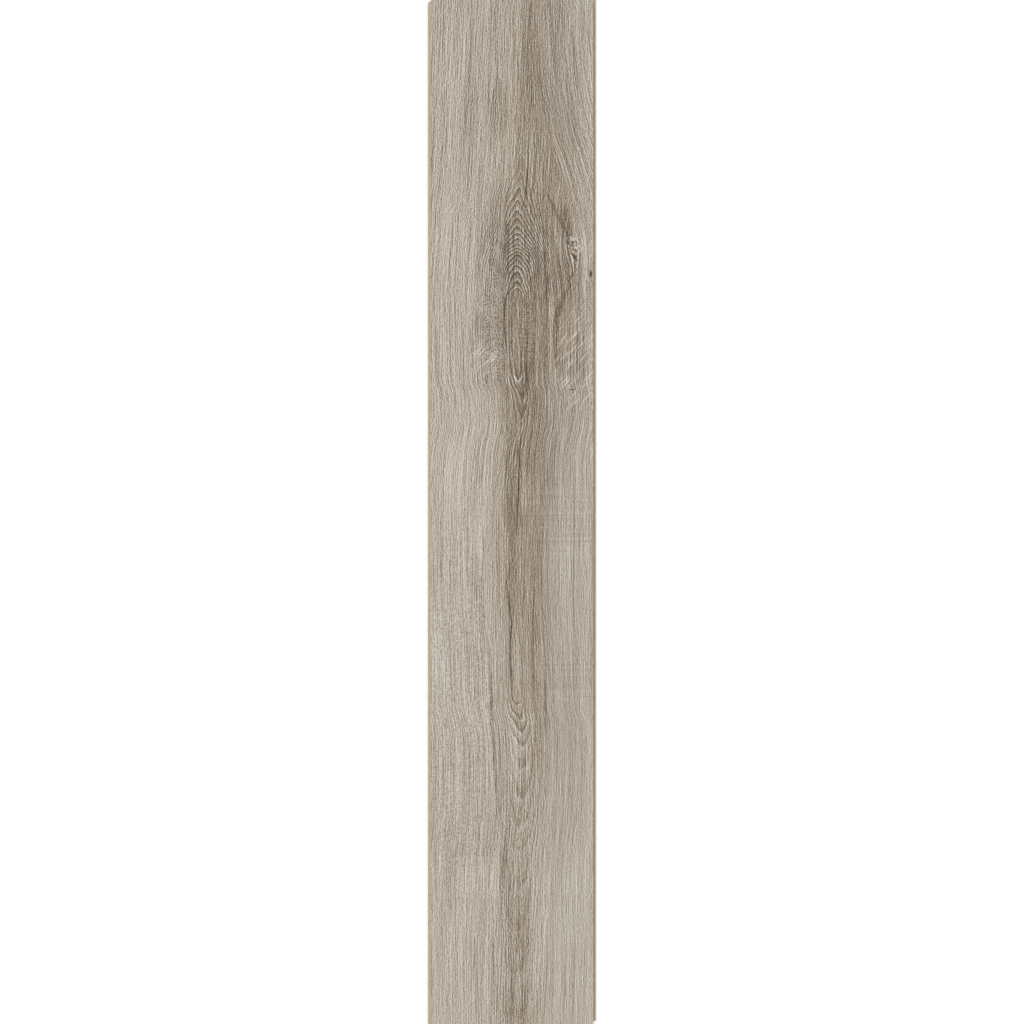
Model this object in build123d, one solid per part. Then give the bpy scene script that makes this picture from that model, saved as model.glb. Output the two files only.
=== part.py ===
from build123d import *
import os
from math import radians, tan

# Laminate floor plank: a decor layer, a fibreboard core and a backing layer, pressed into one board
# and then milled on all four edges with an angling click joint.
# X runs across the plank, Y along it, and Z is up. The origin is under the middle of the face.
# The tongues are on the -X side and the -Y end, and the grooves on the +X side and the +Y end.
# All sizes are in millimetres.

# Face, and what the board is pressed from
face_length = 1200.0
face_width = 190.0
board_thickness = 8.0
decor_thickness = 0.3
backing_thickness = 0.2

# Upper lip of the groove, from the face down: the closing face that meets the next plank,
# a step back from it, a clear stretch, and a chamfer into the mouth
closing_face_depth = 1.5
closing_face_relief = 0.15
clear_stretch = 0.5
mouth_chamfer = 0.35

# Lower lip of the groove, from its valley outwards: the locking flank, the ridge's land and the nose
lower_lip_thickness = 2.2
flank_foot = 0.9
flank_angle = 45.0
ridge_height = 1.0
ridge_land = 0.75
lip_nose = 0.8

# Tongue: a flat top, a round tip and a belly that rolls into the groove
tongue_reach = 3.5
tip_radius = 0.8
belly_start = 0.2

# Play between two planks that are clicked together
glide_play = 0.05
lock_play = 0.05
tip_play = 0.4
ridge_play = 0.2
lip_play = 0.4


def flank_run(rise):
    """How far the locking flank runs sideways while it rises."""
    return rise / tan(radians(flank_angle))


# Levels and reaches that the tongue and the groove share, levels measured up from the underside
upper_lip_thickness = closing_face_depth + closing_face_relief + clear_stretch + mouth_chamfer
groove_ceiling = board_thickness - upper_lip_thickness
groove_depth = tongue_reach + tip_play
ridge_top = lower_lip_thickness + ridge_height
flank_head = flank_foot + lock_play + flank_run(ridge_height)
lower_lip_reach = flank_head + ridge_land + lip_nose
tongue_top = groove_ceiling - glide_play
heel_level = lower_lip_thickness + glide_play
recess_ceiling = ridge_top + ridge_play
recess_depth = lower_lip_reach + lip_play


def tongue_edge(joint):
    """The edge's outline from the face to the underside, with its tongue towards the low side."""

    def at(out, level):
        return (joint - out, level)

    arris = at(0, board_thickness)
    shoulder = at(0, tongue_top)
    tip_upper = at(tongue_reach - tip_radius, tongue_top)
    tip_lower = at(tongue_reach, tongue_top - tip_radius)
    heel_front = at(belly_start, heel_level)
    heel_back = at(-flank_foot, heel_level)
    recess_front = at(-flank_foot - flank_run(recess_ceiling - heel_level), recess_ceiling)
    recess_back = at(-recess_depth, recess_ceiling)
    underside = at(-recess_depth, 0)
    return [
        Polyline(arris, shoulder, tip_upper),
        RadiusArc(tip_upper, tip_lower, -tip_radius),
        TangentArc(heel_front, tip_lower, tangent=(-1, 0)),
        Polyline(heel_front, heel_back, recess_front, recess_back, underside),
    ]


def groove_edge(joint):
    """The edge's outline from the face to the underside, with its groove open to the high side."""

    def at(out, level):
        return (joint + out, level)

    arris = at(0, board_thickness)
    closing_foot = at(0, board_thickness - closing_face_depth)
    clear_head = at(-closing_face_relief, board_thickness - closing_face_depth - closing_face_relief)
    mouth_upper = at(-closing_face_relief, groove_ceiling + mouth_chamfer)
    mouth_lower = at(-closing_face_relief - mouth_chamfer, groove_ceiling)
    root_upper = at(tip_radius - groove_depth, groove_ceiling)
    root_lower = at(-groove_depth, groove_ceiling - tip_radius)
    valley_back = at(-belly_start, lower_lip_thickness)
    valley_front = at(flank_foot + lock_play, lower_lip_thickness)
    ridge_back = at(flank_head, ridge_top)
    ridge_front = at(flank_head + ridge_land, ridge_top)
    nose = at(lower_lip_reach, ridge_top - lip_nose)
    underside = at(lower_lip_reach, 0)
    return [
        Polyline(arris, closing_foot, clear_head, mouth_upper, mouth_lower, root_upper),
        RadiusArc(root_upper, root_lower, -tip_radius),
        TangentArc(valley_back, root_lower, tangent=(-1, 0)),
        Polyline(valley_back, valley_front, ridge_back, ridge_front, nose, underside),
    ]


def milled_section(span):
    """The section between two opposite edges whose faces are span apart."""
    tongue = tongue_edge(-span / 2)
    groove = groove_edge(span / 2)
    face = Line(tongue[0] @ 0, groove[0] @ 0)
    underside = Line(tongue[-1] @ 1, groove[-1] @ 1)
    return make_face([*tongue, *groove, face, underside])


def milled_board():
    """The pressed board after its long edges and then its ends have passed the cutters."""
    past_the_joint = tongue_reach + lower_lip_reach
    along = face_length / 2 + past_the_joint
    across = face_width / 2 + past_the_joint
    long_edges = extrude(Plane.XZ * milled_section(face_width), along, both=True)
    ends = extrude(Plane.YZ * milled_section(face_length), across, both=True)
    milled = long_edges & ends
    # Where a lower lip runs into a tongue at a corner, the cutters leave a loose chip that falls away.
    return max(milled.solids(), key=lambda solid: solid.volume)


def layer(board, low, high):
    """The slice of the milled board between two levels."""
    past_the_joint = tongue_reach + lower_lip_reach
    slab = Box(
        face_width + 2 * past_the_joint,
        face_length + 2 * past_the_joint,
        high - low,
        align=(Align.CENTER, Align.CENTER, Align.MIN),
    )
    return board & Pos(0, 0, low) * slab


core_top = board_thickness - decor_thickness
board = milled_board()
pieces = {
    "backing_layer": layer(board, 0, backing_thickness),
    "hdf_core": layer(board, backing_thickness, core_top),
    "decor_layer": layer(board, core_top, board_thickness),
}

os.makedirs("parts", exist_ok=True)
for name, piece in pieces.items():
    export_step(piece, f"parts/{name}.step")
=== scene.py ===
"""Looks of a laminate floor plank: an oak decor face, a milled fibreboard core and a balancing paper."""

from math import cos, hypot, pi, radians, sin, sqrt

import bpy
from bpy.props import FloatProperty, FloatVectorProperty, IntProperty, PointerProperty
from bpy.types import Operator, Panel, PropertyGroup
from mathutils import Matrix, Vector


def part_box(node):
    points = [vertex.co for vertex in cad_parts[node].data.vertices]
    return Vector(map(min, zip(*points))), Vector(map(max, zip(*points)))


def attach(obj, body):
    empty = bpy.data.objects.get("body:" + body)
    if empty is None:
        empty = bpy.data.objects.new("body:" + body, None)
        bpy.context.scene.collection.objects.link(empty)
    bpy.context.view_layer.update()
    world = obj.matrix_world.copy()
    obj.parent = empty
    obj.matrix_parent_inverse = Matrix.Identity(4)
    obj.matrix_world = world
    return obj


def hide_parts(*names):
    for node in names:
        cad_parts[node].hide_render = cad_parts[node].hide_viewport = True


bl_info = {
    "name": "Laminate Floor Plank",
    "version": (1, 0, 0),
    "blender": (4, 5, 0),
    "location": "View3D > Sidebar > Plank",
    "description": "Embosses the oak decor and finishes the core and the back of a laminate floor plank",
    "category": "Add Mesh",
}

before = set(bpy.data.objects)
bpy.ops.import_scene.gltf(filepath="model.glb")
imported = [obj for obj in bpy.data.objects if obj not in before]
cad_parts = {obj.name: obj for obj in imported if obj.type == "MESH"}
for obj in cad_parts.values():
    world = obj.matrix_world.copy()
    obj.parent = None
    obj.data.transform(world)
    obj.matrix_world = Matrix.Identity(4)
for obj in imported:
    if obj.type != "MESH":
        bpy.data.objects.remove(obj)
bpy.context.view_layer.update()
FACE_LOW, FACE_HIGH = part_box("decor_layer")
CORE_LOW, CORE_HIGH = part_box("hdf_core")
FACE_SIZE = FACE_HIGH - FACE_LOW
MM = 0.001

# The board is cut beside the heart of the log. The first number of each pair is a place along the
# plank, in mm from its middle, unless a table says otherwise.
# Where the heart runs, and how deep it lies under the face
HEART_LINE = (
    (-600, 3.9), (-408, 7.4), (-300, 12.0), (-246, 9.7), (-227, 6.2), (-162, 5.0), (-103, 2.7),
    (-44, 2.7), (43, 3.9), (84, 7.4), (127, 12.0), (152, 7.4), (213, 6.2), (348, 6.2), (384, 9.7),
    (483, 14.4), (600, 17.9),
)
HEART_DEPTH = (
    (-600, 38), (-408, 27), (-338, 21), (-278, 15.2), (-259, 12.3), (-246, 9.4), (-227, 6.5),
    (-214, 2.5), (-190, 1), (10, 1), (32, 2), (45, 6.5), (60, 9.8), (94, 12.3), (127, 9.4),
    (152, 6.5), (176, 3), (200, 1), (248, 1), (263.3, 6.5), (273.6, 9.4), (283.6, 12.3),
    (289.5, 15.2), (296.5, 18.1), (301.9, 21), (305.9, 23.9), (310, 26.8), (314.9, 29.7),
    (322.5, 32.6), (329.3, 35.5), (337.6, 38.4), (346.5, 41.3), (356.8, 44.2), (368.6, 47.1),
    (424, 56), (483, 62), (600, 70),
)
# How far out in the log a point lies, by its distance to each side of the heart. The rings crowd
# where it climbs steeply.
LEFT_SPREAD = ((0, 0), (8, 6.8), (12, 10.5), (15, 15), (18, 24), (22, 35), (40, 58), (110, 128))
RIGHT_SPREAD = (
    (0, 0), (10, 9.5), (15, 15), (20, 21.5), (25, 29.5), (30, 38), (34, 45), (40, 53), (60, 74),
    (130, 144),
)
# Where the rings are counted from, and how far out the depth of the heart still counts
HEART_RADIUS = 6.5
DEPTH_REACH = 50.0
# How far the fibres bow out beside the eyes, and the depth of the heart at which they no longer do
FIBRE_BOW = 6.0
EYE_DEPTH = 38.0
# How far the fibres at the upper right have swung out to the right
FAN = ((300, 66), (350, 56), (389, 43), (416, 33), (453, 20), (521, 6), (600, 0))
# Where the knot sits, how strongly the fibres swerve round it, and how far off to the side and along
KNOT = (71.3, 307.4)
KNOT_SWERVE = 0.95
KNOT_REACH = (15.0, 30.0)
# How far the darker heart wood reaches to each side, and how dark it is
DARK_WOOD_LEFT = (
    (-600, 24), (-400, 24), (-200, 20), (0, 20), (100, 24), (200, 32), (300, 33), (370, 26),
    (430, 13), (600, 12),
)
DARK_WOOD_RIGHT = (
    (-600, 16), (-400, 18), (-280, 24), (-200, 38), (40, 44), (90, 52), (150, 66), (250, 74),
    (330, 76), (400, 72), (470, 65), (600, 54),
)
DARK_WOOD_DEPTH = (
    (-600, 0.22), (-400, 0.18), (-280, 0.12), (-200, 0.2), (40, 0.26), (150, 0.32), (250, 0.36),
    (340, 0.32), (400, 0.26), (600, 0.25),
)
# How clear the growth rings are
RING_CLARITY = (
    (-600, 0.12), (-430, 0.14), (-340, 0.24), (-290, 0.3), (-262, 0.48), (-227, 0.6), (-190, 0.4),
    (-50, 0.4), (30, 0.35), (60, 0.25), (94, 0.3), (127, 0.45), (150, 0.7), (200, 0.8), (260, 1.0),
    (300, 1.1), (350, 1.0), (385, 0.5), (430, 0.15), (600, 0.08),
)
# How much lighter or darker the wood is on each side of the heart
LEFT_TONE = (
    (-600, 0), (-430, 0), (-380, -0.04), (-300, -0.04), (-250, 0), (250, 0), (360, -0.03),
    (420, -0.06), (600, -0.06),
)
RIGHT_TONE = (
    (-600, -0.04), (-500, -0.01), (-400, -0.04), (-330, -0.09), (-200, -0.08), (-50, -0.05),
    (60, -0.06), (200, -0.05), (350, -0.02), (600, 0),
)
# Broad soft streaks: middle and reach in mm, and how much lighter or darker each is
SOFT_STREAKS = (
    ((45, 185), (9, 95), 0.17),
    ((58.5, 122), (10, 55), 0.1),
    ((13.5, 150), (9, 56), -0.08),
    ((-14, 472), (13, 42), -0.14),
    ((-48, 472), (12, 44), -0.06),
    ((42.5, 105), (6, 54), 0.07),
    ((-69.5, 462), (9, 95), 0.07),
    ((72, 490), (9, 82), -0.08),
    ((28, -15), (8, 58), 0.06),
    ((1, 3), (5, 50), -0.13),
    ((-35, 190), (19, 55), -0.11),
    ((-3, 302), (10, 46), -0.09),
    ((29, 225), (7, 45), 0.09),
    ((15, 26), (7, 32), 0.12),
    ((16, 426), (8, 28), 0.07),
    ((29, -175), (7, 32), 0.08),
    ((6, -290), (13, 40), 0.07),
    ((1, -400), (6, 60), 0.08),
    ((77, 178), (17, 36), -0.08),
    ((-42, -74), (10, 32), -0.08),
    ((-43, -274), (9, 34), -0.07),
    ((-28, -424), (9, 34), 0.09),
    ((21, -580), (16, 36), -0.08),
    ((-28, 526), (9, 40), 0.07),
)
# Soft ovals of the face that have a print of their own: middle and reach in mm
RIPPLE_ZONE = ((-62, -230), (52, 300))
CALM_ZONE = ((4, -60), (44, 290))
LIVELY_ZONE = ((4, -500), (30, 190))
SPECKLE_LEFT = ((-20, 220), (21, 84))
SPECKLE_RIGHT = ((19, 205), (12, 44))
RAYS_LEFT = ((-33, 182), (22, 34))
RAYS_RIGHT = ((76, 180), (34, 70))
SHADE_OVER_KNOT = ((62, 338), (9, 26))
LIGHT_RIGHT_OF_KNOT = ((86, 306), (10, 24))
LIGHT_LEFT_OF_KNOT = ((58, 318), (6, 34))
SAW_MARKS_MIDDLE = ((72, -5), (66, 70))
SAW_MARKS_BELOW = ((72, -190), (60, 44))
TAN_BELOW_KNOT = ((63, 224), (11, 46))
TAN_OVER_EYE = ((12, 380), (44, 200))
GREY_UPPER_RIGHT = ((74, 560), (50, 160))

# Tone of the plain wood, and how much each mark lightens or darkens it
WOOD_TONE = 0.785
PALE_LINES = 0.55
LATE_WOOD = 0.48
RING_TONES = 0.14
DASHES = 0.16
RAYS = 0.5
SAW_MARKS = 0.24

# How far apart in the noise two seeds lie, and how far aside the second noise of a crisp line lies
SEED_STEP = 7.31
CRISP_SHIFT = 1.25
# Points of the sheet that are closer than this are one, and edges that turn more than this stay sharp
WELD_DISTANCE = 0.01 * MM
SHARP_TURN = radians(40)
# The colour sockets of a mix node
MIX_FIRST, MIX_SECOND, MIX_RESULT = 6, 7, 2
# Which way the lamp stands, to the side and along the plank, and how wide it is
LAMP_DIRECTION = (-0.2, 0.98)
LAMP_WIDTH = radians(25)
# How much the floor glows, and how much of the face's length the picture leaves out
FLOOR_GLOW = 0.16
PICTURE_TRIM = 1.0 * MM


def linear(red, green, blue):
    """The linear colour of an 8-bit screen colour."""

    def channel(level):
        share = level / 255
        return share / 12.92 if share <= 0.04045 else ((share + 0.055) / 1.055) ** 2.4

    return channel(red), channel(green), channel(blue)


class Term:
    """A number or a vector in a node tree, written down as plain arithmetic."""

    def __init__(self, tree, socket):
        self.tree = tree
        self.socket = socket

    def node(self, kind, *values, **settings):
        """A new node whose inputs take these values in order."""
        made = self.tree.nodes.new(kind)
        for name, value in settings.items():
            setattr(made, name, value)
        for slot, value in zip(made.inputs, values):
            feed(slot, value)
        return made

    def math(self, operation, *values):
        return Term(self.tree, self.node("ShaderNodeMath", *values, operation=operation).outputs[0])

    def __add__(self, other):
        return self.math("ADD", self, other)

    def __sub__(self, other):
        return self.math("SUBTRACT", self, other)

    def __mul__(self, other):
        return self.math("MULTIPLY", self, other)

    def __truediv__(self, other):
        return self.math("DIVIDE", self, other)

    def __radd__(self, other):
        return self.math("ADD", other, self)

    def __rsub__(self, other):
        return self.math("SUBTRACT", other, self)

    def __rmul__(self, other):
        return self.math("MULTIPLY", other, self)

    def __rtruediv__(self, other):
        return self.math("DIVIDE", other, self)

    def __neg__(self):
        return self.math("MULTIPLY", self, -1.0)

    def squared(self):
        return self.math("MULTIPLY", self, self)

    def sine(self):
        return self.math("SINE", self)

    def root(self):
        return self.math("SQRT", self)

    def power(self, exponent):
        return self.math("POWER", self, exponent)

    def size(self):
        return self.math("ABSOLUTE", self)

    def part(self):
        """What is left above the whole number."""
        return self.math("FRACT", self)

    def whole(self):
        return self.math("FLOOR", self)

    def least(self, other):
        return self.math("MINIMUM", self, other)

    def most(self, other):
        return self.math("MAXIMUM", self, other)

    def bell(self, width):
        """1 where this is zero, falling away over the width."""
        return self.math("EXPONENT", -(self / width).squared())

    def rise(self, low, high):
        """0 at low, 1 at high, and smooth between them."""
        made = self.node("ShaderNodeMapRange", self, low, high, interpolation_type="SMOOTHSTEP")
        return Term(self.tree, made.outputs[0])

    def along(self, points):
        """The height over this place of a smooth curve through the points."""
        places = [place for place, height in points]
        heights = [height for place, height in points]
        low, high = min(heights), max(heights)
        made = self.node("ShaderNodeFloatCurve")
        curve = made.mapping.curves[0]
        while len(curve.points) < len(points):
            curve.points.new(1, 1)
        for knob, (place, height) in zip(curve.points, points):
            share = (place - places[0]) / (places[-1] - places[0])
            knob.location = (share, (height - low) / (high - low))
        made.mapping.update()
        feed(made.inputs["Value"], (self - places[0]) / (places[-1] - places[0]))
        return Term(self.tree, made.outputs[0]) * (high - low) + low


def feed(slot, value):
    """Gives a node's input its value, or the term that it follows."""
    if isinstance(value, Term):
        value.tree.links.new(value.socket, slot)
    else:
        slot.default_value = value


def vector(x, y, z=0.0):
    """A vector of these three, of which at least one is a term."""
    known = next(term for term in (x, y, z) if isinstance(term, Term))
    return Term(known.tree, known.node("ShaderNodeCombineXYZ", x, y, z).outputs[0])


def parts(term):
    """A vector's x, y and z."""
    outputs = term.node("ShaderNodeSeparateXYZ", term).outputs
    return tuple(Term(term.tree, output) for output in outputs)


def noise(x, y, size, seed, detail=0.0, roughness=0.5, z=0.0):
    """Soft noise about zero, whose grains measure size along x and y. Each seed has its own."""
    place = vector(x / size[0], y / size[1], z + seed * SEED_STEP)
    made = place.node("ShaderNodeTexNoise")
    feed(made.inputs["Vector"], place)
    made.inputs["Scale"].default_value = 1.0
    made.inputs["Detail"].default_value = detail
    made.inputs["Roughness"].default_value = roughness
    return Term(place.tree, made.outputs[0]) - 0.5


def crisp(x, y, size, seed):
    """Noise like the other, with thinner and clearer lines along y."""
    return noise(x, y, size, seed) - noise(x + CRISP_SHIFT, y, size, seed)


def leaning(x, y, lean, size, seed):
    """Noise whose grains lean from the plank's length, by degrees."""
    across = x * cos(radians(lean)) - y * sin(radians(lean))
    along = x * sin(radians(lean)) + y * cos(radians(lean))
    return noise(across, along, size, seed)


def patch(x, y, zone):
    """1 in the middle of a soft oval, 0 outside it."""
    middle, reach = zone
    far = ((x - middle[0]) / reach[0]).squared() + ((y - middle[1]) / reach[1]).squared()
    return 1.0 - far.rise(0.25, 1.0)


def chance(number):
    """A random number from 0 to 1 for each whole number."""
    made = number.node("ShaderNodeTexWhiteNoise", noise_dimensions="1D")
    feed(made.inputs["W"], number)
    return Term(number.tree, made.outputs["Value"])


LOG_FIELDS = ("ring", "fibre", "fan", "fan_share", "flank", "shade", "figure")


class LogField:
    """Where each point of the face lies in the log that the board is cut from, all in mm."""

    def __init__(self, x, y, ring_width, seed):
        drift = 5.0 * noise(x, y, (70.0, 320.0), seed, 1.0)
        wander = 1.2 * noise(x, y, (22.0, 110.0), seed + 1, 1.0)
        across = x - y.along(HEART_LINE) + drift * x.size().rise(10.0, 60.0)
        depth = y.along(HEART_DEPTH)
        spread = across.most(0.0).along(RIGHT_SPREAD) + (-across).most(0.0).along(LEFT_SPREAD)
        depth = depth / ((spread / DEPTH_REACH).squared() + 1.0).root()
        # The arches are round below the second eye, and more and more pointed upwards
        arch = 2.1 - 0.6 * y.rise(-220.0, -60.0) - 0.3 * y.rise(282.0, 338.0)
        radius = (spread.power(arch) + depth.power(arch)).power(1.0 / arch)
        knot_x, knot_y = x - KNOT[0], y - KNOT[1]
        near_knot = (knot_x / KNOT_REACH[0]).squared() + (knot_y / KNOT_REACH[1]).squared()
        swerve = KNOT_SWERVE * knot_x * near_knot.math("EXPONENT", -near_knot)
        radius = radius - swerve + wander
        self.ring = (radius - HEART_RADIUS) / ring_width

        # The fibres bow out beside the eyes, and fan out at the upper right
        bow = (1.0 - y.along(HEART_DEPTH) / EYE_DEPTH).most(0.0) * FIBRE_BOW
        bow = bow * across.math("TANH", across / 22.0)
        self.fibre = across * 1.15 - bow - swerve + wander
        self.fan = across - y.most(300.0).along(FAN) + wander
        self.fan_share = self.fan.rise(-2.0, 10.0) * y.rise(315.0, 370.0)

        # How light or dark the wood is
        right = across.rise(-4.0, 4.0)
        fall_left = (across / y.along(DARK_WOOD_LEFT)).squared()
        fall_right = (across / y.along(DARK_WOOD_RIGHT)).squared().squared()
        fall = fall_left * (1.0 - right) + fall_right * right
        left_side = 1.0 - across.rise(-24.0, -4.0)
        far_right = across.rise(62.0, 84.0) * (1.0 - y.rise(-260.0, -170.0))
        right_side = across.rise(8.0, 30.0) - 0.7 * far_right
        side_tone = y.along(LEFT_TONE) * left_side + y.along(RIGHT_TONE) * right_side
        self.shade = side_tone - y.along(DARK_WOOD_DEPTH) * fall.math("EXPONENT", -fall)
        for middle, reach, strength in SOFT_STREAKS:
            self.shade = self.shade + strength * patch(x, y, (middle, reach))

        # How clear the rings are: they fade where they stand steep, and at the heart
        self.flank = (spread / (radius + 1.0)).least(1.0)
        steep = self.flank.rise(0.75, 0.97) * (0.66 - 0.46 * y.rise(225.0, 260.0))
        clarity = y.along(RING_CLARITY) * (1.0 - steep)
        self.figure = clarity * radius.rise(3.0, 7.0) * (1.0 - radius.rise(46.0, 82.0))


def group_with(name, kind, inputs, outputs):
    """A new node group with these named inputs and outputs, and its input and output nodes."""
    group = bpy.data.node_groups.new(name, kind)
    for title, socket_type in outputs:
        group.interface.new_socket(title, in_out="OUTPUT", socket_type=socket_type)
    for title, socket_type, value in inputs:
        socket = group.interface.new_socket(title, in_out="INPUT", socket_type=socket_type)
        if value is not None:
            socket.default_value = value
    return group, group.nodes.new("NodeGroupInput"), group.nodes.new("NodeGroupOutput")


def embossed_face_tree(look):
    """A closed sheet whose top follows the growth rings and the pores of the log."""
    group, entry, leave = group_with(
        "Embossed decor face",
        "GeometryNodeTree",
        (
            ("Width", "NodeSocketFloat", FACE_SIZE.x),
            ("Length", "NodeSocketFloat", FACE_SIZE.y),
            ("Thickness", "NodeSocketFloat", FACE_SIZE.z),
            ("Underside", "NodeSocketFloat", FACE_LOW.z),
            ("Cells across", "NodeSocketInt", look.cells_across),
            ("Cells along", "NodeSocketInt", look.cells_along),
            ("Ring width", "NodeSocketFloat", look.ring_width / MM),
            ("Relief", "NodeSocketFloat", look.relief),
            ("Seed", "NodeSocketInt", look.seed),
            ("Material", "NodeSocketMaterial", None),
        ),
        (("Geometry", "NodeSocketGeometry"),),
    )

    def given(title):
        return Term(group, entry.outputs[title])

    def add(kind, **settings):
        made = group.nodes.new(kind)
        for name, value in settings.items():
            setattr(made, name, value)
        return made

    def after(geometry, kind, **settings):
        """A new node that takes up this geometry."""
        made = add(kind, **settings)
        group.links.new(geometry, made.inputs[0])
        return made

    grid = add("GeometryNodeMeshGrid")
    feed(grid.inputs["Size X"], given("Width"))
    feed(grid.inputs["Size Y"], given("Length"))
    feed(grid.inputs["Vertices X"], given("Cells across") + 1.0)
    feed(grid.inputs["Vertices Y"], given("Cells along") + 1.0)

    # Each point of the face keeps its place in the log, for the print
    position = Term(group, add("GeometryNodeInputPosition").outputs[0])
    x, y = (term / MM for term in parts(position)[:2])
    log = LogField(x, y, given("Ring width"), given("Seed"))
    mesh = grid.outputs["Mesh"]
    for name in LOG_FIELDS:
        store = after(mesh, "GeometryNodeStoreNamedAttribute", data_type="FLOAT", domain="POINT")
        store.inputs["Name"].default_value = name
        feed(store.inputs["Value"], getattr(log, name))
        mesh = store.outputs["Geometry"]

    # The top and the sides come from the grid, and the underside is one flat face inside its rim
    thick = after(mesh, "GeometryNodeExtrudeMesh", mode="FACES")
    thick.inputs["Individual"].default_value = False
    feed(thick.inputs["Offset"], vector(0.0, 0.0, given("Thickness")))
    feed(thick.inputs["Offset Scale"], 1.0)
    rim = after(grid.outputs["Mesh"], "GeometryNodeMeshToCurve")
    neighbours = Term(group, add("GeometryNodeInputMeshEdgeNeighbors").outputs[0])
    feed(rim.inputs["Selection"], neighbours.math("LESS_THAN", neighbours, 1.5))
    filled = after(rim.outputs[0], "GeometryNodeFillCurve", mode="NGONS")
    underside = after(filled.outputs[0], "GeometryNodeFlipFaces")

    # Late wood and pores are pressed into the top
    late_wood = log.ring.part().rise(0.55, 0.8) * log.figure
    pores = noise(log.fibre, y, (2.6, 22.0), given("Seed") + 5, 2.0).rise(0.02, 0.16)
    hollow = (0.55 * late_wood + 0.45 * pores).least(1.0)
    sink = after(thick.outputs["Mesh"], "GeometryNodeSetPosition")
    group.links.new(thick.outputs["Top"], sink.inputs["Selection"])
    feed(sink.inputs["Offset"], vector(0.0, 0.0, -(hollow * given("Relief"))))

    both = after(underside.outputs[0], "GeometryNodeJoinGeometry")
    group.links.new(sink.outputs[0], both.inputs[0])
    weld = after(both.outputs[0], "GeometryNodeMergeByDistance")
    weld.inputs["Distance"].default_value = WELD_DISTANCE
    lift = after(weld.outputs[0], "GeometryNodeTransform")
    feed(lift.inputs["Translation"], vector(0.0, 0.0, given("Underside")))

    smooth = after(lift.outputs[0], "GeometryNodeSetShadeSmooth", domain="FACE")
    corner = after(smooth.outputs[0], "GeometryNodeSetShadeSmooth", domain="EDGE")
    turn = Term(group, add("GeometryNodeInputMeshEdgeAngle").outputs[0])
    feed(corner.inputs["Selection"], turn.math("GREATER_THAN", turn, SHARP_TURN))
    corner.inputs["Shade Smooth"].default_value = False

    whole = after(corner.outputs[0], "GeometryNodeRealizeInstances")
    finish = after(whole.outputs[0], "GeometryNodeSetMaterial")
    feed(finish.inputs["Material"], given("Material"))
    group.links.new(finish.outputs[0], leave.inputs[0])
    return group


def plain_material(name):
    """A new material, its node tree and its shader."""
    made = bpy.data.materials.new(name)
    made.use_nodes = True
    tree = made.node_tree
    shader = next(node for node in tree.nodes if node.type == "BSDF_PRINCIPLED")
    return made, tree, shader


def object_place(tree):
    """Object coordinates in mm."""
    place = Term(tree, tree.nodes.new("ShaderNodeTexCoord").outputs["Object"])
    return tuple(term / MM for term in parts(place))


def attribute(tree, name):
    """A number that the mesh keeps at each of its points."""
    node = tree.nodes.new("ShaderNodeAttribute")
    node.attribute_name = name
    return Term(tree, node.outputs["Fac"])


def colour_ramp(term, stops):
    """The colour of a place between 0 and 1 among the stops."""
    node = term.node("ShaderNodeValToRGB", term)
    ramp = node.color_ramp
    while len(ramp.elements) < len(stops):
        ramp.elements.new(1.0)
    for element, (place, colour) in zip(ramp.elements, stops):
        element.position = place
        element.color = (*colour, 1.0)
    return Term(term.tree, node.outputs["Color"])


def tinted(colour, other, share):
    """A colour pulled towards another's hue by a share, as light or dark as before."""
    node = colour.tree.nodes.new("ShaderNodeMix")
    node.data_type = "RGBA"
    node.blend_type = "COLOR"
    feed(node.inputs["Factor"], share)
    feed(node.inputs[MIX_FIRST], colour)
    feed(node.inputs[MIX_SECOND], (*other, 1.0))
    return Term(colour.tree, node.outputs[MIX_RESULT])


def bumped(height, distance, strength):
    """The normal of a surface with this fine relief."""
    node = height.tree.nodes.new("ShaderNodeBump")
    node.inputs["Strength"].default_value = strength
    node.inputs["Distance"].default_value = distance
    feed(node.inputs["Height"], height)
    return Term(height.tree, node.outputs["Normal"])


def line_group():
    """A node group that adds one run of a drawn line, as wide at each end as given."""
    points = ("Place", "Start", "End")
    numbers = ("First", "Last", "Before", "Strength", "Total")
    group, entry, leave = group_with(
        "Drawn line",
        "ShaderNodeTree",
        (
            *((title, "NodeSocketVector", None) for title in points),
            *((title, "NodeSocketFloat", None) for title in numbers),
        ),
        (("Mask", "NodeSocketFloat"), ("Total", "NodeSocketFloat")),
    )
    place, begin, finish = (Term(group, entry.outputs[title]) for title in points)
    first, last, before, strength, total = (Term(group, entry.outputs[title]) for title in numbers)

    def span(operation, *values):
        made = place.node("ShaderNodeVectorMath", operation=operation)
        feeding = (made.inputs[0], made.inputs["Scale"]) if operation == "SCALE" else made.inputs
        for slot, value in zip(feeding, values):
            feed(slot, value)
        result = "Value" if operation in ("DOT_PRODUCT", "LENGTH") else "Vector"
        return Term(group, made.outputs[result])

    way = span("SUBTRACT", finish, begin)
    off = span("SUBTRACT", place, begin)
    share = (span("DOT_PRODUCT", off, way) / span("DOT_PRODUCT", way, way)).most(0.0).least(1.0)
    gap = span("LENGTH", span("SUBTRACT", off, span("SCALE", way, share)))
    width = first + (last - first) * share
    mask = before.most(1.0 - (gap / width).rise(0.35, 1.0))
    feed(leave.inputs["Mask"], mask)
    feed(leave.inputs["Total"], total + (mask - before) * strength)
    return group


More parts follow.
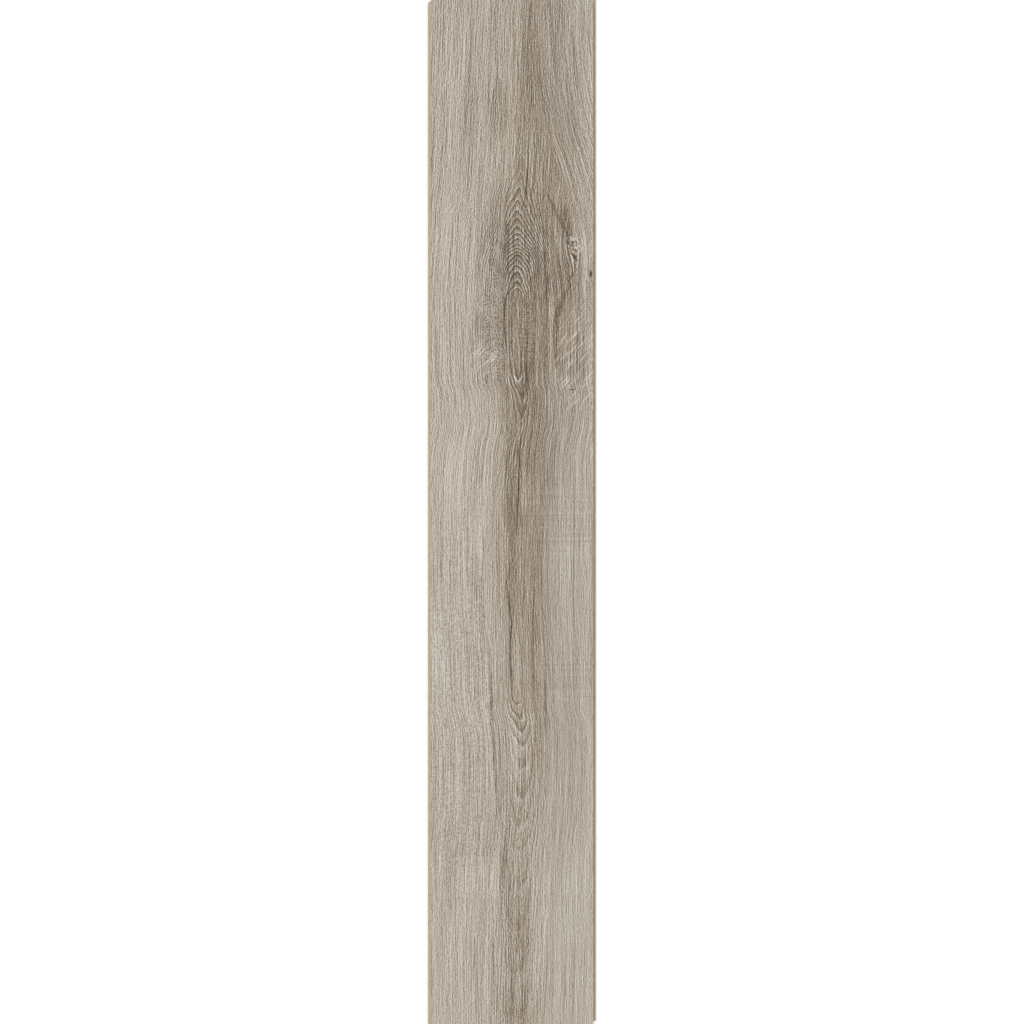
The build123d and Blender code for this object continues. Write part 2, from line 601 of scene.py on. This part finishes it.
def drawn_lines(place, lines):
    """How much all the lines darken or lighten a place. Each one is thin at its ends."""
    group = line_group()
    total = 0.0
    for points, width, strength in lines:
        if len(points) == 2:
            (ax, ay), (bx, by) = points
            points = (points[0], ((ax + bx) / 2, (ay + by) / 2), points[1])
        steps = [hypot(b[0] - a[0], b[1] - a[1]) for a, b in zip(points, points[1:])]
        shares = [sum(steps[:index]) / sum(steps) for index in range(len(points))]
        widths = [width * (0.3 + 0.7 * sqrt(max(0.0, 4 * share * (1 - share)))) for share in shares]
        mask = 0.0
        for index in range(len(steps)):
            made = place.tree.nodes.new("ShaderNodeGroup")
            made.node_tree = group
            made.inputs["Start"].default_value = (*points[index], 0.0)
            made.inputs["End"].default_value = (*points[index + 1], 0.0)
            made.inputs["First"].default_value = widths[index]
            made.inputs["Last"].default_value = widths[index + 1]
            made.inputs["Strength"].default_value = strength
            feed(made.inputs["Place"], place)
            feed(made.inputs["Before"], mask)
            feed(made.inputs["Total"], total)
            mask = Term(place.tree, made.outputs["Mask"])
            total = Term(place.tree, made.outputs["Total"])
    return total


# Lines of the print, each through its points in mm, with its width and how much lighter or darker it is
CRACKS = (
    (((19.1, 437), (18.6, 400), (16.5, 375), (12, 353)), 1.3, -0.7),
    (((11.4, 106), (9.8, 82), (8.8, 57), (6.5, 5), (5.6, -27)), 1.3, -0.6),
    (((4.9, -43), (-8.3, -88), (-3.2, -114)), 1.2, -0.25),
    (((-7, -80), (-3.2, -105), (-0.4, -130), (-3.2, -166), (-0.4, -197), (0.4, -222)), 1.5, -0.5),
    (((26.5, -62), (24.6, -135), (25.4, -197), (24.5, -222)), 1.3, -0.35),
    (((-1.5, 262), (-6.5, 253), (-8.6, 241), (-9.1, 219), (-8.4, 207), (-6, 188)), 1.5, -0.6),
    (((-6, 192), (-4.8, 150), (-5.5, 100), (-4.4, 41)), 1.0, -0.22),
    (((35.5, 296.5), (39.7, 280), (40.4, 260.6), (41.1, 212), (40.4, 170), (41, 120), (40, 96)), 1.1, -0.3),
    (((18.5, 264), (18.8, 233), (18.5, 204), (18, 184), (15.6, 164.5)), 1.3, -0.24),
    (((26, 280), (27.7, 252), (27.3, 223), (26.1, 194), (24.4, 170)), 1.1, -0.24),
)
STREAKS = (
    (((72.5, 60), (72.5, -60), (71.8, -210)), 1.2, -0.28),
    (((-30.4, -20), (-36.4, -91), (-34.8, -132), (-25.4, -172), (-23.7, -237)), 4.6, -0.15),
    (((-24.4, -190), (-23.7, -250), (-18.4, -305), (-14.3, -347), (-14.3, -370)), 3.4, -0.16),
    (((27.4, -240), (30.1, -300)), 2.0, -0.25),
    (((38.2, -197), (39.5, -264)), 3.0, -0.22),
    (((-7.7, -380), (-10.2, -430)), 2.4, -0.25),
    (((14, -345), (5.9, -401), (3.2, -430)), 1.2, 0.25),
    (((-0.8, -356), (5.9, -371)), 1.2, -0.3),
    (((0.4, -535), (-0.8, -600)), 4.0, -0.2),
    (((8.6, -470), (5.9, -516)), 1.6, -0.3),
    (((-43.8, -500), (-45.3, -548)), 1.6, -0.28),
    (((-27.7, -510), (-29, -560)), 1.6, -0.2),
    (((42, 372), (54, 346), (66, 323)), 4.6, -0.2),
    (((70, 268), (61.3, 254), (56.4, 242), (52.4, 228), (50.8, 207), (51.3, 168)), 4.6, -0.24),
    (((47, 345), (53, 318), (57, 290)), 3.6, 0.12),
    (((21, 190), (20, 165), (15, 140), (12, 126)), 4.4, -0.14),
    (((1, 160.5), (6.8, 151.5), (13, 159)), 1.8, 0.3),
    (((9, 137), (14.5, 128.5), (18, 136)), 1.3, 0.25),
    (((-4.5, 40), (-5, -30)), 1.0, -0.25),
)
KNOT_MARKS = (
    (((73, 282), (66, 269)), 1.8, -0.35),
    (((92.2, 283), (92.4, 275)), 2.4, -1.1),
    (((87, 283), (89, 273), (92, 266)), 2.4, 0.2),
    (((66.5, 143.3), (74.5, 143.5)), 1.1, -0.5),
    (((64, 318), (66.5, 313.5)), 1.9, -0.7),
    (((70.5, 317), (72, 315)), 1.9, -0.8),
    (((74, 317), (76, 315)), 1.5, -0.6),
    (((64.5, 311), (67, 304), (71, 300)), 1.2, -0.4),
    (((71, 302), (74, 298.5), (76, 294)), 2.6, -0.7),
    (((76, 306), (80, 302), (79, 298)), 1.2, -0.4),
    (((64, 320), (68, 323), (71, 318), (77, 322)), 1.2, 0.45),
    (((67, 311), (72, 309), (80, 311)), 1.2, 0.4),
    (((70, 304.5), (77, 304), (83, 309)), 1.2, 0.4),
)


class StoredLog:
    """The fields of the log, as the mesh of the face keeps them."""

    def __init__(self, tree):
        for name in LOG_FIELDS:
            setattr(self, name, attribute(tree, name))


def growth_rings(x, y, log, seed):
    """The tone of the rings, the pale line on each late-wood edge, and the dark late wood inside it."""
    jagged = log.ring + 0.34 * noise(x, y, (1.2, 2.6), seed + 20)
    jagged = jagged + 0.5 * noise(x, y, (9.0, 14.0), seed + 22)
    phase = (jagged + 0.6).part()
    pale_line = ((phase - 0.6) / (log.flank * 0.14 + 0.08)).bell(1.0)
    late_wood = ((phase - 0.34) / (log.flank * 0.1 + 0.14)).bell(1.0)
    ring_tone = chance((jagged + 0.1).whole()) - 0.5
    worn = noise(x, y, (7.0, 16.0), seed + 21, 1.0).rise(-0.12, 0.08) * 0.7 + 0.3
    tone = PALE_LINES * pale_line * worn - LATE_WOOD * late_wood + RING_TONES * ring_tone
    return tone * (log.figure * 0.94 + 0.06), pale_line, late_wood


def wood_fibres(x, y, log, seed):
    """The tone of the fibres, and of them the short ones, the fine ones and the dashes."""
    grain = leaning(x, y, 30.0, (0.65, 1.0), seed + 29)
    strands = [
        (
            crisp(place, y, (0.65, 4.0), seed + 30),
            crisp(place, y, (0.65, 28.0), seed + 31),
            noise(place, y, (0.8, 120.0), seed + 32),
            noise(place, y, (4.0, 200.0), seed + 33, 2.0),
        )
        for place in (log.fibre, log.fan)
    ]
    short, fine, long, broad = (
        plain + (0.85 * swung - plain) * log.fan_share for plain, swung in zip(*strands)
    )
    comb_drift = noise(log.fibre, y, (7.0, 90.0), seed + 25, 1.0)
    comb_share = noise(log.fibre, y, (4.0, 26.0), seed + 26).rise(-0.1, 0.15)
    comb = (log.fibre * 2.5 + 14.0 * comb_drift).sine() * comb_share
    ripple_zone = patch(x, y, RIPPLE_ZONE)
    ripple = leaning(x, y, 24.0, (0.8, 2.6), seed + 27) * ripple_zone
    streaks = 0.6 * short * (1.0 - 0.5 * ripple_zone) + 0.7 * ripple
    streaks = streaks + 0.6 * fine + 0.8 * long + 0.1 * comb
    dashes = noise(log.fibre, y, (1.0, 26.0), seed + 34).rise(0.14, 0.3)

    # The lower right is calm, the upper end and the lower middle are lively
    calm_sides = x.rise(26.0, 44.0) * 0.32 + (1.0 - x.rise(-60.0, -20.0)) * 0.1
    calm = calm_sides * (1.0 - y.rise(40.0, 170.0))
    calm = calm.most(0.2 * patch(x, y, CALM_ZONE))
    lively = (0.12 * y.rise(180.0, 330.0)).most(0.15 * patch(x, y, LIVELY_ZONE))

    # Speckle beside the eye, where the fibres stand on end
    speckle = patch(x, y, SPECKLE_LEFT).most(patch(x, y, SPECKLE_RIGHT))
    dots = leaning(x, y, 38.0, (1.0, 1.4), seed + 35)
    dots = 2.6 * dots - 0.5 * dots.rise(0.04, 0.24) * dots.rise(0.04, 0.24) + 0.03
    left_side = 1.0 - x.rise(-50.0, -14.0)
    broad_share = 0.36 - left_side * (0.12 - 0.08 * y.rise(-260.0, -120.0))
    tone = 0.9 * grain + streaks * (1.0 - 0.6 * speckle) * (1.0 - 0.15 * log.figure)
    tone = (tone + broad * broad_share) * (1.0 + lively - calm) + dots * speckle
    return tone, short, fine, dashes


def rays_beside_eye(x, y, seed):
    """Pale strokes across the grain, to the right and to the left of the eye."""
    right_zone = patch(x, y, RAYS_RIGHT) * 0.9
    left_zone = patch(x, y, RAYS_LEFT)
    right_rays = leaning(x, y, 38.0, (0.9, 18.0), seed + 36).rise(0.09, 0.23) * right_zone
    left_rays = leaning(x, y, 46.0, (0.85, 16.0), seed + 37).rise(0.07, 0.2) * left_zone
    return right_rays + left_rays


def knot_tone(x, y, seed):
    """The knot's specks and rim, and the darker and lighter wood round it."""
    knot_x, knot_y = x - KNOT[0], y - KNOT[1]
    warp = noise(x, y, (7.0, 7.0), seed + 37, 2.0)
    far = ((knot_x / 8.5).squared() + (knot_y / 12.0).squared()).root() + 0.9 * warp
    inside = 1.0 - far.rise(0.55, 0.95)
    rim = (far - 1.0).bell(0.2)
    specks = noise(x, y, (2.2, 2.8), seed + 38, 1.0).rise(0.05, 0.18)
    light = patch(x, y, LIGHT_RIGHT_OF_KNOT).most(patch(x, y, LIGHT_LEFT_OF_KNOT))
    around = 0.1 * light - 0.14 * patch(x, y, SHADE_OVER_KNOT)
    return around + 0.08 * rim + inside * (0.05 - 0.4 * specks)


def oak_colour(x, y, tone, colours, seed):
    """The colour of a tone, with warm and cool clouds."""
    colour = colour_ramp(
        tone,
        (
            (0.0, colours.crack),
            (0.25, colours.late_wood),
            (0.5, colours.heart_wood),
            (0.72, colours.wood),
            (0.95, colours.pale_wood),
            (1.0, colours.highlight),
        ),
    )
    tan_clouds = noise(x, y, (40.0, 220.0), seed + 40, 1.0).rise(-0.02, 0.2) * 0.12
    tan_clouds = tan_clouds.most(patch(x, y, TAN_BELOW_KNOT) * 0.6)
    colour = tinted(colour, colours.tan_wood, tan_clouds)
    colour = tinted(colour, colours.tan_wood, patch(x, y, TAN_OVER_EYE) * 0.18)
    grey_sides = x.rise(30.0, 60.0) * 0.28 + (1.0 - x.rise(-90.0, -70.0)) * 0.2
    grey_sides = grey_sides * (1.0 - y.rise(90.0, 200.0))
    return tinted(colour, colours.grey_wood, (patch(x, y, GREY_UPPER_RIGHT) * 0.25).most(grey_sides))


def oak_decor(look, colours):
    """Oak print under a matt melamine overlay, pressed in register with its grain."""
    material, tree, shader = plain_material("oak_decor")
    x, y = object_place(tree)[:2]
    # The drawn lines come first, because a shader holds only so many values at a time
    drawn = drawn_lines(vector(x, y), CRACKS + STREAKS + KNOT_MARKS)
    log = StoredLog(tree)
    seed = float(look.seed)
    rings, pale_line, late_wood = growth_rings(x, y, log, seed)
    fibres, short, fine, dashes = wood_fibres(x, y, log, seed)
    tone = WOOD_TONE + log.shade + rings + fibres - DASHES * dashes
    tone = tone + RAYS * rays_beside_eye(x, y, seed) + knot_tone(x, y, seed)
    saw_zone = patch(x, y, SAW_MARKS_MIDDLE).most(patch(x, y, SAW_MARKS_BELOW))
    tone = tone + noise(x, y, (110.0, 3.2), seed + 41, 1.0) * saw_zone * SAW_MARKS
    broken = noise(x, y, (2.0, 9.0), seed + 39, 1.0).rise(-0.2, 0.05) * 0.6 + 0.4
    tone = tone + drawn * broken

    feed(shader.inputs["Base Color"], oak_colour(x, y, tone, colours, seed))
    feed(shader.inputs["Roughness"], 0.56 - 0.35 * fine)
    shader.inputs["Specular IOR Level"].default_value = 0.3
    height = 0.6 * fine + 0.4 * short - 0.5 * dashes + 0.3 * (pale_line - late_wood) * log.figure
    feed(shader.inputs["Normal"], bumped(height, 0.12 * MM, 0.6))
    return material


def fibreboard(colours):
    """Milled high density fibreboard: denser and darker towards its faces, with fibre flecks."""
    material, tree, shader = plain_material("milled_fibreboard")
    x, y, z = object_place(tree)
    middle = (CORE_LOW.z + CORE_HIGH.z) / 2 / MM
    half = (CORE_HIGH.z - CORE_LOW.z) / 2 / MM
    dense = ((z - middle) / half).size().rise(0.35, 1.0)
    fleck = noise(x, y, (1.1, 1.1), 3.0, 3.0, 0.65, z / 0.5)
    cloud = noise(x, y, (9.0, 9.0), 4.0, 1.0, z=z / 6.0)
    cut = noise(x, y, (30.0, 30.0), 5.0, z=z / 0.18)
    tone = 0.55 - 0.35 * dense + 1.1 * fleck + 0.4 * cloud + 0.25 * cut
    colour = colour_ramp(tone, ((0.0, colours.dense), (0.5, colours.middle), (1.0, colours.fibre)))
    feed(shader.inputs["Base Color"], colour)
    feed(shader.inputs["Roughness"], 0.72 - 0.3 * fleck)
    feed(shader.inputs["Normal"], bumped(fleck + 0.6 * cut, 0.06 * MM, 0.5))
    return material


def balancing_paper(colours):
    """Resin-soaked balancing paper: cloudy fibres, and a faint press gloss painted into the colour as broad
    lighter and darker patches.
    """
    material, tree, shader = plain_material("balancing_paper")
    x, y = object_place(tree)[:2]
    cloud = noise(x, y, (7.0, 9.0), 6.0, 3.0, 0.6)
    fibre = noise(x, y, (0.7, 2.4), 7.0, 2.0)
    # Painted sheen: broad lighter and darker patches in the colour stand in for the press gloss
    painted_sheen = noise(x, y, (60.0, 140.0), 8.0, 1.0)
    tone = 0.5 + 0.7 * cloud + 0.7 * fibre + 0.3 * painted_sheen
    colour = colour_ramp(tone, ((0.0, colours.shade), (1.0, colours.paper)))
    feed(shader.inputs["Base Color"], colour)
    feed(shader.inputs["Roughness"], 0.55 + 0.3 * cloud)
    feed(shader.inputs["Normal"], bumped(fibre + cloud, 0.04 * MM, 0.4))
    return material


class DecorFace(PropertyGroup):
    """Sizes of the embossed face."""

    cells_across: IntProperty(
        name="Cells across", description="Mesh cells over the width", default=150, min=10
    )
    cells_along: IntProperty(
        name="Cells along", description="Mesh cells over the length", default=600, min=10
    )
    ring_width: FloatProperty(
        name="Ring width",
        description="Growth of the tree in a year",
        default=2.9 * MM,
        unit="LENGTH",
        precision=4,
    )
    relief: FloatProperty(
        name="Relief",
        description="Depth of the pressed grain",
        default=0.08 * MM,
        unit="LENGTH",
        precision=5,
    )
    seed: IntProperty(name="Seed", description="Which board of the log this is", default=4)


def colour_property(name, description, red, green, blue):
    """A setting for a colour, given as an 8-bit screen colour."""
    return FloatVectorProperty(
        name=name,
        description=description,
        default=linear(red, green, blue),
        subtype="COLOR",
        size=3,
        min=0.0,
        max=1.0,
    )


class GrainColours(PropertyGroup):
    """Colours of the oak print, from its cracks to its palest fibres."""

    crack: colour_property("Crack", "Bottom of the cracks", 74, 62, 49)
    late_wood: colour_property("Late wood", "Dark edge of the growth rings", 110, 94, 76)
    heart_wood: colour_property("Heart wood", "Wood beside the heart", 146, 130, 111)
    wood: colour_property("Wood", "Most of the face", 172, 161, 146)
    pale_wood: colour_property("Pale wood", "Bands of pale fibres", 199, 192, 181)
    highlight: colour_property("Highlight", "Palest fibres", 210, 205, 197)
    tan_wood: colour_property("Tan wood", "Warm clouds", 176, 160, 138)
    grey_wood: colour_property("Grey wood", "Cool clouds", 164, 159, 151)


class CoreColours(PropertyGroup):
    """Colours of the fibreboard."""

    dense: colour_property("Dense", "Pressed skin of the board", 164, 149, 129)
    middle: colour_property("Middle", "Middle of the board", 184, 169, 148)
    fibre: colour_property("Fibre", "Loose pale fibres", 206, 193, 174)


class PaperColours(PropertyGroup):
    """Colours of the balancing paper."""

    shade: colour_property("Shade", "Thin places, where the core shows through", 168, 158, 140)
    paper: colour_property("Paper", "Paper", 206, 199, 184)


class Stage(PropertyGroup):
    """Light, floor and camera."""

    sky: FloatProperty(name="Sky", description="Strength of the even light", default=0.65, min=0.0)
    sun: FloatProperty(name="Sun", description="Share of light from the soft lamp", default=0.36, min=0.0)
    sun_height: FloatProperty(
        name="Lamp height",
        description="Angle of the lamp over the floor",
        default=radians(72),
        subtype="ANGLE",
    )
    lens: FloatProperty(name="Lens", description="Focal length in mm", default=180.0)
    floor_size: FloatProperty(
        name="Floor", description="Side of the floor", default=14.0, unit="LENGTH"
    )


class PLANK_OT_decor_face(Operator):
    """Press the oak decor, and lay it on the core"""

    bl_idname = "plank.decor_face"
    bl_label = "Decor face"

    def execute(self, context):
        look = context.scene.plank_face
        tree = embossed_face_tree(look)
        holder = bpy.data.objects.new("decor_face_source", bpy.data.meshes.new("decor_face_source"))
        context.scene.collection.objects.link(holder)
        modifier = holder.modifiers.new("Embossed decor face", "NODES")
        modifier.node_group = tree
        inputs = [item for item in tree.interface.items_tree if item.in_out == "INPUT"]
        sockets = {item.name: item.identifier for item in inputs}
        modifier[sockets["Material"]] = oak_decor(look, context.scene.plank_grain)
        modifier[sockets["Ring width"]] = look.ring_width / MM
        modifier[sockets["Relief"]] = look.relief
        modifier[sockets["Seed"]] = look.seed
        evaluated = holder.evaluated_get(context.evaluated_depsgraph_get())
        mesh = bpy.data.meshes.new_from_object(evaluated)
        mesh.name = "decor_face"
        bpy.data.objects.remove(holder)
        face = bpy.data.objects.new("decor_face", mesh)
        context.scene.collection.objects.link(face)
        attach(face, "root")
        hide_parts("decor_layer")
        return {"FINISHED"}


def dress(node, material):
    """Gives a CAD node's object its finish."""
    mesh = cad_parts[node].data
    if not mesh.materials:
        mesh.materials.append(material)
    for index in range(len(mesh.materials)):
        mesh.materials[index] = material


class PLANK_OT_core(Operator):
    """Finish the milled fibreboard core"""

    bl_idname = "plank.core"
    bl_label = "Fibreboard core"

    def execute(self, context):
        dress("hdf_core", fibreboard(context.scene.plank_core))
        return {"FINISHED"}


class PLANK_OT_backing(Operator):
    """Finish the balancing paper on the underside"""

    bl_idname = "plank.backing"
    bl_label = "Balancing paper"

    def execute(self, context):
        dress("backing_layer", balancing_paper(context.scene.plank_paper))
        return {"FINISHED"}


def seen_directly(tree):
    """1 for rays that show the background itself, straight on or in a gloss."""
    path = tree.nodes.new("ShaderNodeLightPath").outputs
    direct = Term(tree, path["Is Camera Ray"])
    glossy = Term(tree, path["Is Glossy Ray"])
    through = Term(tree, path["Is Transmission Ray"])
    return direct.most(glossy).most(through)


def white_floor():
    """White paper that keeps shadows and shows pure white where the light is full."""
    material, tree, shader = plain_material("white_floor")
    feed(shader.inputs["Roughness"], 1.0)
    shader.inputs["Specular IOR Level"].default_value = 0.0
    shader.inputs["Base Color"].default_value = (0.9, 0.9, 0.9, 1.0)
    shader.inputs["Emission Color"].default_value = (1.0, 1.0, 1.0, 1.0)
    feed(shader.inputs["Emission Strength"], seen_directly(tree) * FLOOR_GLOW)
    return material


class PLANK_OT_stage(Operator):
    """Lay the plank on a white floor, under soft light and below the camera"""

    bl_idname = "plank.stage"
    bl_label = "Stage"

    def execute(self, context):
        stage = context.scene.plank_stage
        half = stage.floor_size / 2
        mesh = bpy.data.meshes.new("floor")
        corners = [(-half, -half, 0.0), (half, -half, 0.0), (half, half, 0.0), (-half, half, 0.0)]
        mesh.from_pydata(corners, [], [(0, 1, 2, 3)])
        mesh.materials.append(white_floor())
        floor = bpy.data.objects.new("floor", mesh)
        context.scene.collection.objects.link(floor)

        world = bpy.data.worlds.new("soft sky")
        context.scene.world = world
        world.use_nodes = True
        sky = world.node_tree.nodes["Background"]
        shown = seen_directly(world.node_tree)
        feed(sky.inputs["Strength"], stage.sky + shown * (1.0 - stage.sky))
        sky.inputs["Color"].default_value = (1.0, 1.0, 1.0, 1.0)

        lamp = bpy.data.lights.new("soft lamp", "SUN")
        lamp.angle = LAMP_WIDTH
        lamp.energy = stage.sun * pi / sin(stage.sun_height)
        sun = bpy.data.objects.new("soft lamp", lamp)
        side, ahead = (share * cos(stage.sun_height) for share in LAMP_DIRECTION)
        towards = Vector((side, ahead, sin(stage.sun_height)))
        sun.rotation_euler = towards.to_track_quat("Z", "Y").to_euler()
        context.scene.collection.objects.link(sun)

        lens = bpy.data.cameras.new("overhead camera")
        lens.lens = stage.lens
        shown_length = FACE_SIZE.y - PICTURE_TRIM
        distance = shown_length * stage.lens / lens.sensor_width
        camera = bpy.data.objects.new("overhead camera", lens)
        camera.location = (0.0, 0.0, FACE_HIGH.z + distance)
        context.scene.collection.objects.link(camera)
        context.scene.camera = camera
        context.scene.view_settings.view_transform = "Standard"
        return {"FINISHED"}


class PLANK_PT_panel(Panel):
    """Steps and settings of the plank"""

    bl_label = "Laminate plank"
    bl_space_type = "VIEW_3D"
    bl_region_type = "UI"
    bl_category = "Plank"

    def draw(self, context):
        for operator in OPERATORS:
            self.layout.operator(operator.bl_idname)
        for name in SETTINGS:
            group = getattr(context.scene, name)
            box = self.layout.box()
            for key in group.__annotations__:
                box.prop(group, key)


SETTINGS = {
    "plank_face": DecorFace,
    "plank_grain": GrainColours,
    "plank_core": CoreColours,
    "plank_paper": PaperColours,
    "plank_stage": Stage,
}
OPERATORS = (PLANK_OT_decor_face, PLANK_OT_core, PLANK_OT_backing, PLANK_OT_stage)
CLASSES = (*SETTINGS.values(), *OPERATORS, PLANK_PT_panel)


def register():
    for made in CLASSES:
        bpy.utils.register_class(made)
    for name, group in SETTINGS.items():
        setattr(bpy.types.Scene, name, PointerProperty(type=group))


def unregister():
    for name in SETTINGS:
        delattr(bpy.types.Scene, name)
    for made in reversed(CLASSES):
        bpy.utils.unregister_class(made)


def main():
    register()
    bpy.ops.plank.decor_face()
    bpy.ops.plank.core()
    bpy.ops.plank.backing()
    bpy.ops.plank.stage()


if __name__ == "__main__":
    main()
